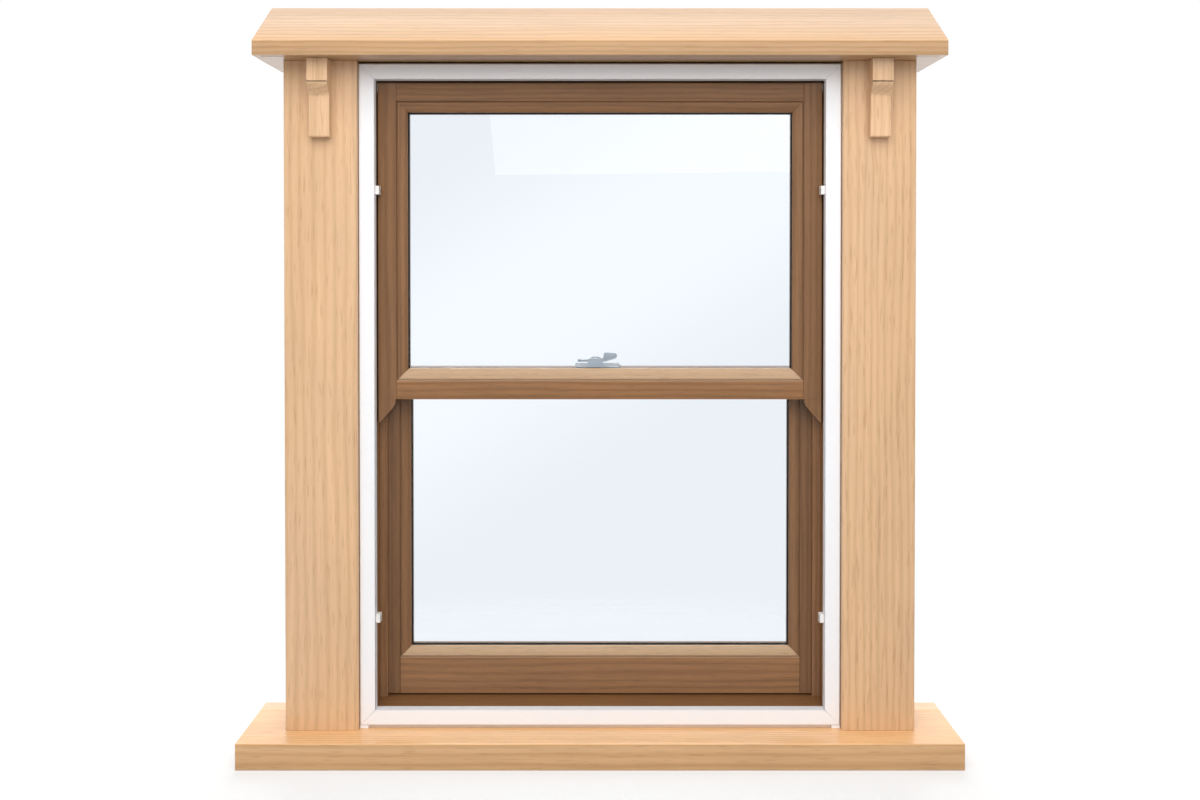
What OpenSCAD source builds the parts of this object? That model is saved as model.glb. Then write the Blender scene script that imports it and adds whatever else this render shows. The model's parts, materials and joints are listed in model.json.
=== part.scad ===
// Vertical sliding sash window in an oak surround: a sill, two posts and a hood carry a timber box
// frame with two brown stained sashes, white trim on the outside and concealed spiral balances.
// Millimetres. Origin at the bottom centre of the sill, +X right, +Y towards the room, +Z up.

/* [Opening] */
// Clear width between the two jambs
opening_w = 787; // [650:1:950]
// Height from the oak sill to the underside of the frame head
opening_h = 1136; // [940:1:1370]
// Height of the top of the closed meeting rails above the oak sill
meet_top = 630; // [520:1:760]
// How far short of the shorter sash's own height both sashes stop
stop_margin = 147.5; // [120:0.5:200]

/* [Oak surround] */
// Width of each post
post_w = 127; // [80:1:160]
// How far the posts stand forward of the wall line
post_front = 52; // [42:1:70]
// How far the sill and hood stand forward of the wall line
board_front = 130; // [105:1:160]
// Depth of the surround behind the wall line
back_depth = 130; // [108:1:160]
// Thickness of the sill
sill_t = 46; // [35:1:60]
// How far each end of the sill runs past its post
sill_past = 71; // [30:1:90]
// Depth of the strip joined to the back of the sill
strip_d = 58; // [40:1:80]
// How far each end of the hood runs past its post
hood_past = 38; // [20:1:60]
// Height of the hood's upright front edge
hood_edge = 25.5; // [18:0.5:40]
// Height of the hood at its back
hood_h = 104; // [70:1:130]
// Depth of the hood's sloping top
hood_slope_d = 169; // [120:1:190]
// Size of the eased corners on the oak
oak_ease = 3; // [1:0.5:5]

/* [Brackets] */
// Width of each bracket
bracket_w = 36; // [24:1:50]
// How far the top of a bracket stands out from its post
bracket_top_d = 44; // [34:1:54]
// How far the lower half of a bracket stands out
bracket_low_d = 22; // [14:1:30]
// Height of the straight part under the hood
bracket_top_h = 39; // [30:1:50]
// Height of the curve
bracket_curve_h = 26; // [20:1:34]
// Height of the straight lower half
bracket_low_h = 69; // [50:1:85]
// How far each bracket sits inside its post's centre line
bracket_shift = 2; // [0:0.5:5]

/* [Timber frame] */
// Depth of the frame in front of the wall line
frame_front = 13; // [12:0.5:16]
// Rise of the timber sill for each millimetre of depth
sill_fall = 0.151; // [0.1:0.001:0.18]
// Depth of the trenches that hold the timber sill and the parting beads
trench_d = 6; // [4:0.5:8]

/* [Beads] */
// Thickness of the parting beads
parting_t = 6.5; // [5.5:0.1:9]
// How far the parting beads stand out from the jambs
bead_out = 14; // [10:0.5:16]
// Thickness of the staff beads on the room side
staff_t = 15; // [12:0.5:20]
// Running gap between a sash and each bead
bead_gap = 0.75; // [0.5:0.05:1.2]
// Gap between the front of the upper sash and the front of the frame
front_gap = 2; // [1:0.1:3]

/* [White trim] */
// Width of the trim's face
trim_w = 27.5; // [22:0.5:34]
// Depth of the trim
trim_d = 26; // [20:0.5:34]
// Wall of the hollow trim
trim_wall = 1.8; // [1.2:0.1:2.4]
// Gap between the trim and each post
trim_gap = 1; // [0.5:0.1:2]
// Gap between the trim and the hood
trim_top_gap = 3.5; // [1:0.5:8]
// Bevel around the front of the trim
trim_bevel = 2; // [1:0.1:3]
// Thickness of the packer under the trim
packer_t = 5; // [3:0.5:8]
// Width of the packer's feet
packer_foot = 15; // [10:1:20]
// How far the packer's strip is set back behind its feet
packer_back = 8; // [4:1:12]
// Leg of each corner cleat
cleat_leg = 70; // [50:1:90]

/* [Retainer clips] */
// Height of each clip
clip_h = 15; // [12:0.5:20]
// How far each clip stands out into the opening
clip_out = 8; // [6:0.5:10]
// Depth of each clip
clip_d = 20; // [14:0.5:22]
// Distance of the lower clips above the oak sill
clip_low = 192; // [150:1:240]
// Distance of the upper clips below the frame head
clip_high = 192.4; // [150:0.1:240]

/* [Sashes] */
// Thickness of both sashes
sash_t = 35; // [34:0.5:42]
// Width of the stiles
stile_w = 54; // [48:0.5:62]
// Height of the upper sash's top rail
top_rail_h = 54; // [48:0.5:62]
// Height of each meeting rail
meet_h = 54.5; // [48:0.5:62]
// Height of the bottom rail above the timber sill
bottom_rail_h = 90.5; // [76:0.5:110]
// Gap between each sash and the jamb beside it
side_gap = 2.5; // [1.5:0.1:3]
// Gap over the upper sash
head_gap = 3; // [2:0.5:5]
// Gap between the closed lower sash and the timber sill
sill_gap = 0.1; // [0.05:0.05:0.5]
// Gap between the bevels of the closed meeting rails
meet_gap = 0.3; // [0.3:0.05:0.6]
// Height of the rebate under the lower sash's front edge
drip_h = 3.7; // [2:0.1:5]
// Depth of that rebate
drip_d = 8; // [6:0.5:12]
// Thickness of the tenons
tenon_t = 11; // [8:0.5:12]
// Gap left between the end of each tenon and the balance groove
tenon_short = 2; // [1:0.5:4]

/* [Sash horns] */
// Length of the horns below the upper sash
horn_h = 41; // [30:0.5:50]
// Width of the horns
horn_w = 30; // [24:0.5:32]
// Straight height of the horns before they run off
horn_straight = 9.5; // [6:0.5:14]

/* [Glazing] */
// Thickness of the glass
glass_t = 6; // [4:0.5:8]
// Width of the glazing bead's moulding
bead_w = 17; // [13:0.5:20]
// Width of the groove beside the moulding
quirk_w = 2.5; // [1.5:0.1:4]
// Depth of that groove
quirk_d = 3; // [2:0.1:5]
// Depth of the glazing beads
bead_d = 12.5; // [10:0.5:13]
// Height of the bead's square edge against the glass
bead_edge = 5; // [3:0.5:6]
// Width of the gasket seen beside the bead
gasket_w = 2; // [1:0.1:3]
// Thickness of the gasket in front of the glass
gasket_front = 2; // [1:0.1:3]
// Thickness of the gasket behind and around the glass
gasket_back = 1; // [0.5:0.1:2]

/* [Spiral balances] */
// Outer diameter of the balance tubes
tube_d = 14; // [12:0.1:17]
// Wall of the balance tubes
tube_wall = 0.8; // [0.6:0.1:1]
// Gap between each tube and the jamb beside it
tube_stand = 5; // [4:0.5:6]
// Gap on each side of a tube in its groove
groove_side = 1; // [0.5:0.1:2]
// Gap between a tube and the bottom of its groove
groove_back = 2; // [1:0.5:3]
// Gap between the twisted strip and the spring around it
strip_gap = 0.8; // [0.6:0.1:1.2]
// Thickness of the twisted strip
strip_t = 2; // [1.5:0.1:2.2]
// Length of one turn of the strip
strip_pitch = 50; // [40:1:70]
// Clearance around the bush's spigot
bush_gap = 0.08; // [0.05:0.01:0.1]
// Height of the bush's collar
collar_h = 10; // [8:0.5:14]
// Height of the bush's spigot
spigot_h = 6; // [5:0.5:8]
// Length of the solid plug at the top of each tube
plug_h = 14; // [12:0.5:18]

/* [Screws] */
// Diameter of the wood screws
screw_d = 3.5; // [3:0.1:4]
// Length of the frame screws
frame_screw_l = 31; // [28:0.5:33]
// Length of the fastener's screws
small_screw_l = 12; // [9:0.5:15]

/* [Fastener] */
// Distance of the pivot left of the centre line
pivot_left = 8; // [0:0.5:20]
// Thickness of the base plate
base_t = 3; // [2:0.1:4]
// Width of the base plate
base_w = 80; // [74:0.5:90]
// Depth of the base plate
base_d = 22; // [18:0.5:26]
// How far the base plate's centre sits right of the pivot
base_shift = 5; // [3:0.5:6]
// Radius of the lever's hub
hub_r = 10.5; // [9:0.5:11]
// Radius of the pivot rivet
rivet_r = 3; // [2:0.1:3.5]
// Clearance of the rivet in the lever
rivet_gap = 0.05; // [0.03:0.01:0.1]
// Reach of the tongue from the pivot
tongue_reach = 32; // [30:0.5:33]
// Thickness of the tongue
tongue_t = 4.3; // [3:0.1:4.5]
// Length of the thumb paddle
paddle_l = 23.4; // [20:0.1:28]
// Height of the thumb paddle
paddle_h = 14.4; // [10:0.1:16]
// Width of the keep
keep_w = 78; // [74:0.5:90]
// Width of the keep's hook
hook_w = 29; // [26:0.5:32]

/* [Hidden] */
$fn = 48;
// Short steps in the curve of an eased corner
EASE_STEPS = 3;
// How far a cutting shape runs past what it cuts
OVER = 1;
// Steps in one turn of a twisted strip
SLICES = 24;

// Heights, from the bottom up
base_z = sill_t;
head_z = base_z + opening_h;
hood_z = head_z + trim_w + trim_top_gap;
frame_sill_h = packer_t + trim_w;
meet_z = base_z + meet_top;
meet_low = meet_z - meet_h;
upper_top = head_z - head_gap;
trim_low = base_z + packer_t;
trim_top = head_z + trim_w;

// Half widths, from the middle out
jamb_x = opening_w / 2;
sash_x = jamb_x - side_gap;
trim_x = jamb_x + trim_w;
post_in = trim_x + trim_gap;
post_out = post_in + post_w;
bead_x = jamb_x - bead_out;
sill_x = post_out + sill_past;
hood_x = post_out + hood_past;

// Depths, from the outside in
trim_back = -frame_front;
trim_front = trim_back - trim_d;
upper_y = -frame_front + front_gap;
upper_back = upper_y + sash_t;
parting_y = upper_back + bead_gap;
lower_y = parting_y + parting_t + bead_gap;
lower_back = lower_y + sash_t;
staff_y = lower_back + bead_gap;

// The sashes' section: the outer part, the glazing rebate and the lip behind the glass
moulding_w = quirk_w + bead_w + gasket_w;
glass_v = bead_d + gasket_front;
lip_v = glass_v + glass_t + gasket_back;
stile_flat = stile_w - moulding_w;
rebate_x = sash_x - stile_flat;
sight_x = sash_x - stile_w;
// A tenon's setback from the sash's face and from its rail's edges
tenon_v = 8;
tenon_edge = 6;
// Eased edges of the sash timber: the outer corners, the room side and the meeting rails
fine_edge = 0.8;
soft_edge = 2;
bright_edge = 1.8;

// Height of the timber sill's sloping top at a depth
function sill_top(y) = base_z + frame_sill_h + (min(y, lower_back) + frame_front) * sill_fall;
// The lower sash's underside at its front face, before its rebate is cut
lower_low = sill_top(lower_y);
lower_sight = lower_low + bottom_rail_h;
drip_z = lower_low + drip_h;
travel = min(upper_top - meet_low, meet_z - lower_low) - stop_margin;

// Spiral balances: the strip slides through the bush, which turns below the fixed tube
balance_x = jamb_x - tube_stand - tube_d / 2;
balance_v = sash_t / 2;
groove_w = tube_d + 2 * groove_side;
groove_d = sash_x - balance_x + tube_d / 2 + groove_back;
tenon_l = stile_flat - groove_d - tenon_short;
tube_bore = tube_d - 2 * tube_wall;
tube_head_gap = 4;
tube_top = head_z - tube_head_gap;
strip_top_gap = 4;
strip_top = tube_top - plug_h - strip_top_gap;
strip_low_top = strip_top - travel;
strip_overlap = 15;
tube_low = strip_low_top - strip_overlap;
collar_z = tube_low - collar_h;
web_z = collar_z + collar_h / 2;
spring_foot_gap = 2;
spring_low = tube_low + spigot_h + spring_foot_gap;
spring_h = strip_top - spring_low;
spring_wall = 1.2;
spring_out = tube_bore / 2 - 0.2;
strip_w = 2 * (spring_out - spring_wall - strip_gap);
foot_h = 8;
foot_t = 2;
upper_groove_z = meet_low + 4.5;
lower_groove_z = lower_low + 12;
balance_ys = [upper_y + balance_v, lower_y + balance_v];

// Fastener, standing on the meeting rails
pivot_x = -pivot_left;
pivot_in = 16;
pivot_y = lower_y + pivot_in;
rivet_depth = 8;
boss_h = 2.5;
boss_z = meet_z + base_t + boss_h;
tongue_up = 3;
tongue_z = boss_z + tongue_up;
hub_h = 10.8;
hub_top = boss_z + hub_h;
hub_taper = 1.5;
turn_gap = 0.1;
base_x = pivot_x + base_shift;
base_screw = base_w / 2 - 6;
keep_shift = 3;
keep_x = pivot_x + keep_shift;
keep_screw = keep_w / 2 - 6.4;
hook_gap = 0.5;
hook_z = tongue_z + tongue_t + hook_gap;
hook_t = 2.7;
hook_top = hook_z + hook_t;
keep_d = 11;
keep_in = 2;
keep_y = upper_back - keep_in - keep_d;

// Colours
OAK = "#DDB282";
BROWN_OAK = "#9A7450";
BEAD_OAK = "#B98D64";
WHITE = "#F1F1F0";
CLEAR = "#E8EFF4";
BLACK = "#1C1C1C";
ZINC = "#B6BCBF";
STEEL = "#C3C6C8";

// Points on the curve that replaces corner b between its neighbours a and c
function toward(from, to, distance) = from + distance * (to - from) / norm(to - from);
function curve(p, b, q, t) = (1 - t) * (1 - t) * p + 2 * t * (1 - t) * b + t * t * q;
function ease_corner(a, b, c, r) =
    [for (i = [0 : EASE_STEPS]) curve(toward(b, a, r), b, toward(b, c, r), i / EASE_STEPS)];
// An outline with each corner eased by its own size, 0 for a sharp corner
function eased(points, sizes) =
    let (n = len(points))
    [for (i = [0 : n - 1])
        each sizes[i] == 0
            ? [points[i]]
            : ease_corner(points[(i + n - 1) % n], points[i], points[(i + 1) % n], sizes[i])];

// A bar along X, centred, with its section as [depth, height] points
module bar_x(length, points) {
    rotate([90, 0, 90])
        linear_extrude(length, center = true)
            polygon(points);
}

// A bar along Z with its section as [x, depth] points
module bar_z(z_low, z_high, points) {
    translate([0, 0, z_low])
        linear_extrude(z_high - z_low)
            polygon(points);
}

// A plate in the XZ plane between two depths, with its outline as [x, height] points
module plate_y(y_front, y_back, points) {
    translate([0, y_back, 0])
        rotate([90, 0, 0])
            linear_extrude(y_back - y_front)
                polygon(points);
}

// A block between two corners
module block(low, high) {
    translate(low)
        cube(high - low);
}

// Both hands of a shape
module both_sides() {
    children();
    mirror([1, 0, 0])
        children();
}

// One mitred side of a rectangular ring. The section's points are [inward from the outer edge, depth].
module ring_side(side, half_w, z_low, z_high, section) {
    reach = max([for (p = section) p[0]]) + OVER;
    depths = [for (p = section) p[1]];
    y_front = min(depths) - OVER;
    y_back = max(depths) + OVER;
    length = 2 * half_w;
    if (side == "left" || side == "right")
        mirror([side == "right" ? 1 : 0, 0, 0])
            intersection() {
                bar_z(z_low, z_high, [for (p = section) [p[0] - half_w, p[1]]]);
                plate_y(y_front, y_back, [
                    [-half_w - OVER, z_low - OVER],
                    [-half_w - OVER, z_high + OVER],
                    [-half_w + reach, z_high - reach],
                    [-half_w + reach, z_low + reach]
                ]);
            }
    else
        intersection() {
            bar_x(length, [for (p = section) [p[1], side == "top" ? z_high - p[0] : z_low + p[0]]]);
            if (side == "top")
                plate_y(y_front, y_back, [
                    [-half_w - OVER, z_high + OVER],
                    [half_w + OVER, z_high + OVER],
                    [half_w - reach, z_high - reach],
                    [-half_w + reach, z_high - reach]
                ]);
            else
                plate_y(y_front, y_back, [
                    [-half_w - OVER, z_low - OVER],
                    [half_w + OVER, z_low - OVER],
                    [half_w - reach, z_low + reach],
                    [-half_w + reach, z_low + reach]
                ]);
        }
}

// A countersunk wood screw along -Z, its head flush at the origin and cut for a cross-slot driver
module wood_screw(length) {
    slot = screw_d * 0.8;
    half_slot = screw_d / 10;
    deep = 0.8;
    difference() {
        rotate_extrude()
            polygon([
                [0, 0], [screw_d, 0], [screw_d / 2, -screw_d / 2],
                [screw_d / 2, -length + screw_d], [0, -length]
            ]);
        block([-slot, -half_slot, -deep], [slot, half_slot, OVER]);
        block([-half_slot, -slot, -deep], [half_slot, slot, OVER]);
    }
}

// The hole for that screw, a little larger all over
module screw_hole(length) {
    grow = 0.1;
    rotate_extrude()
        polygon([
            [0, OVER], [screw_d + grow + OVER, OVER], [screw_d / 2 + grow, -screw_d / 2],
            [screw_d / 2 + grow, -length + screw_d], [0, -length - grow]
        ]);
}

// Where each wood screw stands: the four clips, then the tops of the four balance tubes
clip_y = trim_back + front_gap / 2;
clip_zs = [base_z + clip_low, head_z - clip_high];
tube_screw_z = tube_top - plug_h / 2;
// How far a screw's head is sunk into the round of a tube
tube_sink = 0.3;

module at_frame_screws() {
    both_sides() {
        for (z = clip_zs)
            translate([clip_out - jamb_x, clip_y - clip_d / 2, z])
                rotate([0, 90, 0])
                    children();
        for (y = balance_ys)
            translate([tube_d / 2 - balance_x - tube_sink, y, tube_screw_z])
                rotate([0, 90, 0])
                    children();
    }
}

// --- Oak surround ---

// Where the strip is joined to the back of the sill
strip_y = back_depth - strip_d;

module sill_board() {
    color(OAK)
        bar_x(2 * sill_x, eased(
            [[-board_front, 0], [-board_front, sill_t], [strip_y, sill_t], [strip_y, 0]],
            [oak_ease, oak_ease, 0, 0]));
}

module sill_back_strip() {
    color(OAK)
        bar_x(2 * sill_x, eased(
            [[strip_y, 0], [strip_y, sill_t], [back_depth, sill_t], [back_depth, 0]],
            [0, 0, oak_ease, 0]));
}

// The posts stand on the sill and carry the hood
module post() {
    color(OAK)
        bar_z(base_z, hood_z, eased(
            [
                [-post_out, -post_front], [-post_in, -post_front],
                [-post_in, back_depth], [-post_out, back_depth]
            ],
            [oak_ease, oak_ease, 0, 0]));
}

module post_left() {
    post();
}

module post_right() {
    mirror([1, 0, 0])
        post();
}

// A solid board with a level underside, a drip groove and a top that sheds rain to the front
module hood_board() {
    ridge_y = -board_front + hood_slope_d;
    drip_y = -board_front + 14;
    drip_w = 6;
    drip_deep = 4;
    drip_x = hood_x - 12;
    color(OAK)
        difference() {
            bar_x(2 * hood_x, eased(
                [
                    [-board_front, hood_z], [-board_front, hood_z + hood_edge], [ridge_y, hood_z + hood_h],
                    [back_depth, hood_z + hood_h], [back_depth, hood_z]
                ],
                [oak_ease / 2, oak_ease, 0, 0, 0]));
            block([-drip_x, drip_y, hood_z - OVER], [drip_x, drip_y + drip_w, hood_z + drip_deep]);
        }
}

// A sawn bracket: straight under the hood, a double curve, then a thinner straight leg
module bracket() {
    z_top = hood_z;
    z_curve = z_top - bracket_top_h;
    z_leg = z_curve - bracket_curve_h;
    z_low = z_leg - bracket_low_h;
    steps = 12;
    ease = 2;
    y_leg = -post_front - bracket_low_d;
    mid_x = (post_in + post_out) / 2 - bracket_shift;
    step_d = bracket_top_d - bracket_low_d;
    wave = [for (i = [0 : steps])
        [y_leg - step_d * (1 - cos(180 * i / steps)) / 2, z_leg + bracket_curve_h * i / steps]];
    color(OAK)
        translate([-mid_x, 0, 0])
            bar_x(bracket_w, concat(
                [[-post_front, z_top], [-post_front, z_low], [y_leg + ease, z_low], [y_leg, z_low + ease]],
                wave,
                [[-post_front - bracket_top_d, z_top]]));
}

module bracket_left() {
    bracket();
}

module bracket_right() {
    mirror([1, 0, 0])
        bracket();
}

// --- White trim ---

// The hollow trim's section, bevelled at the front
trim_section = [
    [0, trim_back], [0, trim_front + trim_bevel], [trim_bevel, trim_front],
    [trim_w - trim_bevel / 2, trim_front], [trim_w, trim_front + trim_bevel / 2], [trim_w, trim_back]
];
trim_fillet = 1;
trim_inside = trim_front + trim_wall;
trim_hollow = [
    [trim_wall, trim_back - trim_wall], [trim_wall, trim_inside + trim_fillet],
    [trim_wall + trim_fillet, trim_inside], [trim_w - trim_wall, trim_inside],
    [trim_w - trim_wall, trim_back - trim_wall]
];

module trim_side(side) {
    color(WHITE)
        difference() {
            ring_side(side, trim_x, trim_low, trim_top, trim_section);
            ring_side(side, trim_x, trim_low, trim_top, trim_hollow);
            at_frame_screws()
                screw_hole(frame_screw_l);
        }
}

module trim_head() {
    trim_side("top");
}

module trim_sill() {
    trim_side("bottom");
}

module trim_left() {
    trim_side("left");
}

module trim_right() {
    trim_side("right");
}

// L-shaped cleats inside the hollow trim, one across each mitre
module trim_corner_cleats() {
    low = trim_wall;
    high = trim_w - trim_wall;
    y_front = trim_inside + 1.5 * trim_fillet;
    y_back = trim_back - trim_wall;
    leg = [[low, low], [cleat_leg, low], [cleat_leg, high], [high, high], [high, cleat_leg], [low, cleat_leg]];
    color(STEEL)
        both_sides() {
            plate_y(y_front, y_back, [for (p = leg) [p[0] - trim_x, trim_low + p[1]]]);
            plate_y(y_front, y_back, [for (p = leg) [p[0] - trim_x, trim_top - p[1]]]);
        }
}

// A packer strip with a foot at each end
module trim_packer() {
    color(WHITE) {
        block([-trim_x, trim_front + packer_back, base_z], [trim_x, trim_back, trim_low]);
        both_sides()
            block([-trim_x, trim_front + OVER, base_z], [packer_foot - trim_x, trim_back, trim_low]);
    }
}

// Four clips screwed to the trim, which hold the upper sash in its track
module retainer_clips() {
    color(WHITE)
        difference() {
            both_sides()
                for (z = clip_zs)
                    translate([0, 0, z - clip_h / 2])
                        bar_z(0, clip_h, eased(
                            [
                                [-jamb_x, clip_y - clip_d], [clip_out - jamb_x, clip_y - clip_d],
                                [clip_out - jamb_x, clip_y], [-jamb_x, clip_y]
                            ],
                            [0, 2, 1, 0]));
            at_frame_screws()
                screw_hole(frame_screw_l);
        }
}

module frame_screws() {
    color(STEEL)
        at_frame_screws()
            wood_screw(frame_screw_l);
}

// --- Timber frame ---

module frame_head() {
    color(BROWN_OAK)
        difference() {
            block([-post_in, -frame_front, head_z], [post_in, back_depth, hood_z]);
            block([-bead_x, parting_y, head_z - OVER], [bead_x, parting_y + parting_t, head_z + trench_d]);
        }
}

// The timber sill's section: a front edge, a slope under the sashes and a level part on the room side
sill_section = [
    [-frame_front, base_z], [-frame_front, base_z + frame_sill_h], [lower_back, sill_top(lower_back)],
    [back_depth, sill_top(lower_back)], [back_depth, base_z]
];

// A jamb, trenched for the timber sill and the parting bead
module jamb() {
    color(BROWN_OAK)
        difference() {
            block([-post_in, -frame_front, base_z], [-jamb_x, back_depth, head_z]);
            bar_x(2 * (jamb_x + trench_d), sill_section);
            block(
                [-jamb_x - trench_d, parting_y, base_z],
                [-jamb_x + OVER, parting_y + parting_t, head_z + OVER]);
            at_frame_screws()
                screw_hole(frame_screw_l);
        }
}

module frame_jamb_left() {
    jamb();
}

module frame_jamb_right() {
    mirror([1, 0, 0])
        jamb();
}

module frame_sill() {
    color(BROWN_OAK)
        bar_x(2 * (jamb_x + trench_d), sill_section);
}

// A parting bead pressed into the jamb's trench, standing on the sloping sill
module parting_bead() {
    color(BROWN_OAK)
        difference() {
            bar_z(base_z, head_z, eased(
                [
                    [-jamb_x - trench_d, parting_y], [-bead_x, parting_y],
                    [-bead_x, parting_y + parting_t], [-jamb_x - trench_d, parting_y + parting_t]
                ],
                [0, 1, 1, 0]));
            bar_x(2 * (jamb_x + trench_d + OVER), sill_section);
        }
}

module parting_bead_left() {
    parting_bead();
}

module parting_bead_right() {
    mirror([1, 0, 0])
        parting_bead();
}

module parting_bead_head() {
    color(BROWN_OAK)
        block([-bead_x, parting_y, head_z - bead_out], [bead_x, parting_y + parting_t, head_z + trench_d]);
}

// The staff beads' section, well rounded on the edge towards the room
staff_round = staff_t * 0.6;
staff_section = eased(
    [[0, staff_y], [bead_out, staff_y], [bead_out, staff_y + staff_t], [0, staff_y + staff_t]],
    [0, soft_edge, staff_round, 0]);

module staff_bead(side) {
    color(BROWN_OAK)
        ring_side(side, jamb_x, sill_top(lower_back), head_z, staff_section);
}

module staff_bead_left() {
    staff_bead("left");
}

module staff_bead_right() {
    staff_bead("right");
}

module staff_bead_head() {
    staff_bead("top");
}

module staff_bead_sill() {
    staff_bead("bottom");
}

// --- Sashes ---

// A stile's section: the outer part, then the lip behind the glass
module stile_blank(y_front, z_low, z_high) {
    bar_z(z_low, z_high, eased(
        [
            [-sash_x, y_front], [-rebate_x, y_front], [-rebate_x, y_front + lip_v],
            [-sight_x, y_front + lip_v], [-sight_x, y_front + sash_t], [-sash_x, y_front + sash_t]
        ],
        [fine_edge, fine_edge, 0, 0, soft_edge, 0]));
}

// A rail's tenons, cut a little short of the balance groove
module tenons(y_front, z_low, z_high) {
    half_w = rebate_x + tenon_l;
    block([-half_w, y_front + tenon_v, z_low], [half_w, y_front + tenon_v + tenon_t, z_high]);
}

// The groove that the balance lies in, open at the stile's edge
module balance_groove(y_front, z_low, z_high) {
    mid = y_front + balance_v;
    block([-sash_x - OVER, mid - groove_w / 2, z_low], [groove_d - sash_x, mid + groove_w / 2, z_high]);
}

// Heights of each rail's tenons
top_tenon = [upper_top - top_rail_h + moulding_w + tenon_edge, upper_top - tenon_edge];
meet_tenon_up = [meet_low + tenon_edge, meet_z - moulding_w - tenon_edge];
meet_tenon_low = [meet_low + moulding_w + tenon_edge, meet_z - tenon_edge];
bottom_tenon = [drip_z + 2 * tenon_edge, lower_sight - moulding_w - tenon_edge];

// The horn's outline, from its shoulder to its foot beside the jamb
horn_foot = 3;
horn_outline = eased(
    [
        [-sash_x, meet_low + OVER], [horn_w - sash_x, meet_low + OVER],
        [horn_w - sash_x, meet_low - horn_straight], [horn_foot - sash_x, meet_low - horn_h],
        [-sash_x, meet_low - horn_h]
    ],
    [0, 0, 2 * horn_foot, horn_foot / 2, 0]);

// Fine lines on the face: the horn's shoulder and the scribed corner
module upper_stile_lines() {
    line = 1;
    deep = 0.6;
    scribe_l = stile_flat * sqrt(2) - 2;
    block(
        [-sash_x - OVER, upper_y - OVER, meet_low - line / 2],
        [-rebate_x, upper_y + deep, meet_low + line / 2]);
    translate([-sash_x, upper_y + deep, upper_top])
        rotate([0, 45, 0])
            block([0, -OVER - deep, -line / 2], [scribe_l, 0, line / 2]);
}

module upper_stile() {
    color(BROWN_OAK)
        difference() {
            union() {
                stile_blank(upper_y, meet_low, upper_top);
                plate_y(upper_y, upper_back, horn_outline);
            }
            tenons(upper_y, top_tenon[0], top_tenon[1]);
            tenons(upper_y, meet_tenon_up[0], meet_tenon_up[1]);
            balance_groove(upper_y, upper_groove_z, upper_top + OVER);
            upper_stile_lines();
        }
}

module upper_stile_left() {
    upper_stile();
}

module upper_stile_right() {
    mirror([1, 0, 0])
        upper_stile();
}

module upper_top_rail() {
    shoulder_z = upper_top - top_rail_h + moulding_w;
    color(BROWN_OAK) {
        bar_x(2 * rebate_x, eased(
            [
                [upper_y, shoulder_z], [upper_y, upper_top],
                [upper_y + lip_v, upper_top], [upper_y + lip_v, shoulder_z]
            ],
            [fine_edge, fine_edge, 0, 0]));
        bar_x(2 * sight_x, eased(
            [
                [upper_y + lip_v, upper_top - top_rail_h], [upper_y + lip_v, upper_top],
                [upper_back, upper_top], [upper_back, upper_top - top_rail_h]
            ],
            [0, 0, 0, soft_edge]));
        tenons(upper_y, top_tenon[0], top_tenon[1]);
    }
}

// The upper meeting rail, whose bevelled back closes against the lower one
module upper_meeting_rail() {
    shoulder_z = meet_z - moulding_w;
    bevel = lower_y - upper_back - meet_gap;
    color(BROWN_OAK)
        difference() {
            union() {
                bar_x(2 * rebate_x, eased(
                    [
                        [upper_y, meet_low], [upper_y, shoulder_z],
                        [upper_y + lip_v, shoulder_z], [upper_y + lip_v, meet_low]
                    ],
                    [fine_edge, bright_edge, 0, 0]));
                bar_x(2 * sight_x, [
                    [upper_y + lip_v, meet_low], [upper_y + lip_v, meet_z], [upper_back, meet_z],
                    [upper_back + bevel, meet_low]
                ]);
                bar_x(2 * rebate_x, [
                    [upper_back, meet_low], [upper_back, meet_z], [upper_back + bevel, meet_low]
                ]);
                tenons(upper_y, meet_tenon_up[0], meet_tenon_up[1]);
            }
            at_keep_screws()
                screw_hole(small_screw_l);
        }
}

// The space under the lower sash: the sloping sill and the rebate along the front edge
module under_lower_sash() {
    back_z = sill_top(lower_back) + sill_gap;
    bar_x(2 * sash_x + 2 * OVER, [
        [lower_y - OVER, base_z], [lower_y - OVER, drip_z], [lower_y + drip_d, drip_z],
        [lower_y + drip_d, sill_top(lower_y + drip_d) + sill_gap], [lower_back, back_z],
        [lower_back + OVER, back_z], [lower_back + OVER, base_z]
    ]);
}

module lower_stile() {
    color(BROWN_OAK)
        difference() {
            stile_blank(lower_y, lower_low, meet_z);
            under_lower_sash();
            tenons(lower_y, meet_tenon_low[0], meet_tenon_low[1]);
            tenons(lower_y, bottom_tenon[0], bottom_tenon[1]);
            balance_groove(lower_y, lower_groove_z, meet_z + OVER);
        }
}

module lower_stile_left() {
    lower_stile();
}

module lower_stile_right() {
    mirror([1, 0, 0])
        lower_stile();
}

// The lower meeting rail, bevelled at its front to close against the upper one
module lower_meeting_rail() {
    shoulder_z = meet_low + moulding_w;
    bevel = lower_y - upper_back - meet_gap;
    shoulder_bevel = bevel * moulding_w / meet_h;
    color(BROWN_OAK)
        difference() {
            union() {
                bar_x(2 * rebate_x, [
                    [lower_y - shoulder_bevel, shoulder_z], [lower_y - bevel, meet_z],
                    [lower_y + lip_v, meet_z], [lower_y + lip_v, shoulder_z]
                ]);
                bar_x(2 * sight_x, [
                    [lower_y + lip_v, meet_low], [lower_y + lip_v, meet_z],
                    [lower_back, meet_z], [lower_back, meet_low]
                ]);
                tenons(lower_y, meet_tenon_low[0], meet_tenon_low[1]);
            }
            at_fastener_screws()
                screw_hole(small_screw_l);
            translate([pivot_x, pivot_y, meet_z - rivet_depth])
                cylinder(h = rivet_depth + OVER, r = rivet_r + 2 * rivet_gap);
        }
}

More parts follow.
